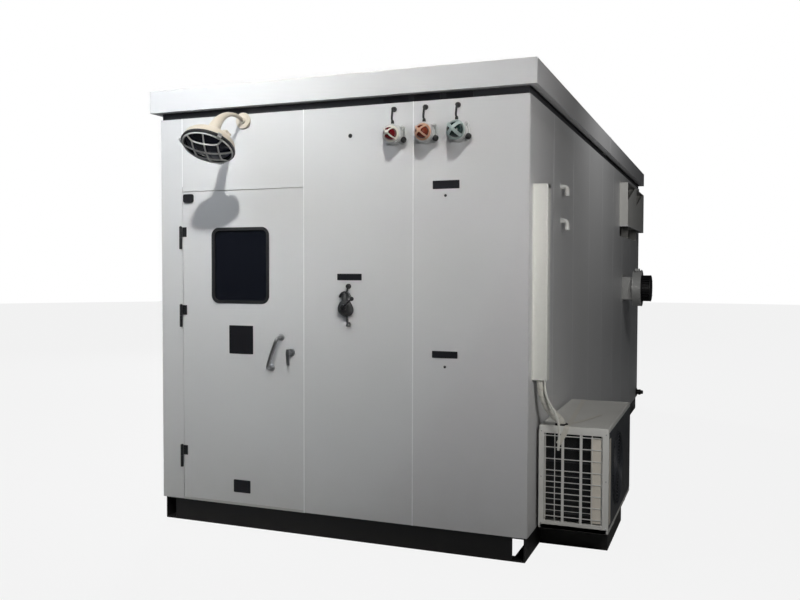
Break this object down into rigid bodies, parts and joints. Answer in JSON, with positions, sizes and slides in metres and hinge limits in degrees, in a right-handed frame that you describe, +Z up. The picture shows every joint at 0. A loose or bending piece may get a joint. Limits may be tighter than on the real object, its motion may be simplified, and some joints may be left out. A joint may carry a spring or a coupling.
{
  "type": "walk-in equipment shelter",
  "caption": "Insulated steel equipment shelter on a skid base, with personnel door, floodlight, beacons, hand switch, split air conditioner, vent hood and exhaust fan.",
  "frame": {"origin": "centre of the anchor-hole rectangle in the base, at ground level", "axes": "+Z up, front wall with the door faces -Y, air conditioner on the +X side, the long side runs along Y"},
  "size_m": [2.982, 6.5907, 2.86],
  "materials": {
    "wall_paint": "satin",
    "lining_panel": "satin",
    "roof_paint": "satin",
    "rail_paint": "matte",
    "base_paint": "satin",
    "floor_vinyl": "matte",
    "frame_steel": "satin",
    "seal_rubber": "matte",
    "hinge_black": "satin",
    "window_glass": "gloss",
    "handle_steel": "satin",
    "plate_black": "satin",
    "lever_zinc": "satin",
    "lamp_enamel": "satin",
    "lamp_glass": "gloss",
    "guard_wire": "satin",
    "lamp_led": "gloss",
    "cast_alloy": "satin",
    "lens_red": "gloss",
    "lens_amber": "gloss",
    "lens_green": "gloss",
    "cable_black": "satin",
    "raceway_white": "satin",
    "pipe_tape": "matte",
    "hose_white": "satin",
    "vent_white": "satin",
    "hood_paint": "satin",
    "fan_paint": "satin",
    "motor_iron": "satin",
    "unit_paint": "satin",
    "coil_fins": "satin",
    "fan_plastic": "matte",
    "machine_steel": "satin",
    "cabinet_paint": "satin",
    "light_diffuser": "gloss",
    "tray_zinc": "satin"
  },
  "bodies": {
    "shelter": {"base_frame": "base_paint", "condenser_platform": "base_paint", "floor_deck": "floor_vinyl", "front_wall_panels": "wall_paint", "right_wall_panels": "wall_paint", "left_wall_panels": "wall_paint", "rear_wall_panels": "wall_paint", "inner_wall_panels": "lining_panel", "ceiling_panel": "lining_panel", "top_rail": "rail_paint", "roof_caps": "roof_paint", "door_frame": "frame_steel", "door_seal": "seal_rubber", "hinge_frame_leaves": "hinge_black", "lamp_bracket": "lamp_enamel", "lamp_housing": "lamp_enamel", "lamp_lens": "lamp_glass", "lamp_guard": "guard_wire", "lamp_module": "lamp_led", "beacon_bodies": "cast_alloy", "beacon_lens_red": "lens_red", "beacon_lens_amber": "lens_amber", "beacon_lens_green": "lens_green", "beacon_guards": "cast_alloy", "beacon_cables": "cable_black", "switch_body": "cast_alloy", "nameplates": "plate_black", "wall_fittings": "cable_black", "raceway": "raceway_white", "refrigerant_pipes": "pipe_tape", "drain_hose": "hose_white", "vent_elbows": "vent_white", "vent_hood": "hood_paint", "fan_casing": "fan_paint", "fan_motor": "motor_iron", "supply_gland": "cable_black", "condenser_case": "unit_paint", "condenser_guards": "unit_paint", "condenser_coil": "coil_fins", "condenser_machinery": "machine_steel", "distribution_board": "cabinet_paint", "instrument_cabinet": "cabinet_paint", "indoor_unit": "unit_paint", "ceiling_lights": "light_diffuser", "cable_tray": "tray_zinc"},
    "door": {"door_leaf": "wall_paint", "door_inner_panel": "lining_panel", "hinge_door_leaves": "hinge_black", "window_glass": "window_glass", "window_gasket": "seal_rubber", "pull_handle": "handle_steel", "door_plates": "plate_black", "exit_device_case": "handle_steel"},
    "lever": {"lever_handle": "lever_zinc"},
    "push_pad": {"panic_bar": "handle_steel"},
    "switch_arm": {"switch_lever": "lever_zinc"},
    "condenser_rotor": {"condenser_fan": "fan_plastic"},
    "exhaust_rotor": {"fan_impeller": "fan_paint"},
    "board_door": {"board_door": "cabinet_paint"},
    "cabinet_door": {"cabinet_door": "cabinet_paint"}
  },
  "joints": [
    {"name": "door_hinge", "type": "hinge", "parent": "shelter", "child": "door", "pos_m": [-1.09, -3.0105, 1.2], "axis": [0, 0, -1], "range_deg": [0, 110]},
    {"name": "lever_turn", "type": "hinge", "parent": "door", "child": "lever", "pos_m": [-0.266, -3, 1.157], "axis": [0, -1, 0], "range_deg": [0, 60], "stiffness_Nm_per_rad": 0.6},
    {"name": "push_pad_travel", "type": "slide", "parent": "door", "child": "push_pad", "axis": [0, -1, 0], "range_m": [0, 0.01], "stiffness_N_per_m": 800, "springref_m": -0.004},
    {"name": "switch_turn", "type": "hinge", "parent": "shelter", "child": "switch_arm", "pos_m": [0.116, -3.05, 1.452], "axis": [0, -1, 0], "range_deg": [-90, 0]},
    {"name": "condenser_fan_spin", "type": "hinge", "parent": "shelter", "child": "condenser_rotor", "pos_m": [1.6, -2.395, 0.465], "axis": [1, 0, 0], "continuous": true},
    {"name": "exhaust_fan_spin", "type": "hinge", "parent": "shelter", "child": "exhaust_rotor", "pos_m": [1.4, 1.5, 1.498], "axis": [1, 0, 0], "continuous": true},
    {"name": "board_door_hinge", "type": "hinge", "parent": "shelter", "child": "board_door", "pos_m": [-0.94495, -0.99, 1.45], "axis": [0, 0, -1], "range_deg": [0, 110]},
    {"name": "cabinet_door_hinge", "type": "hinge", "parent": "shelter", "child": "cabinet_door", "pos_m": [-0.56495, 0.91, 1.16], "axis": [0, 0, -1], "range_deg": [0, 110]}
  ]
}
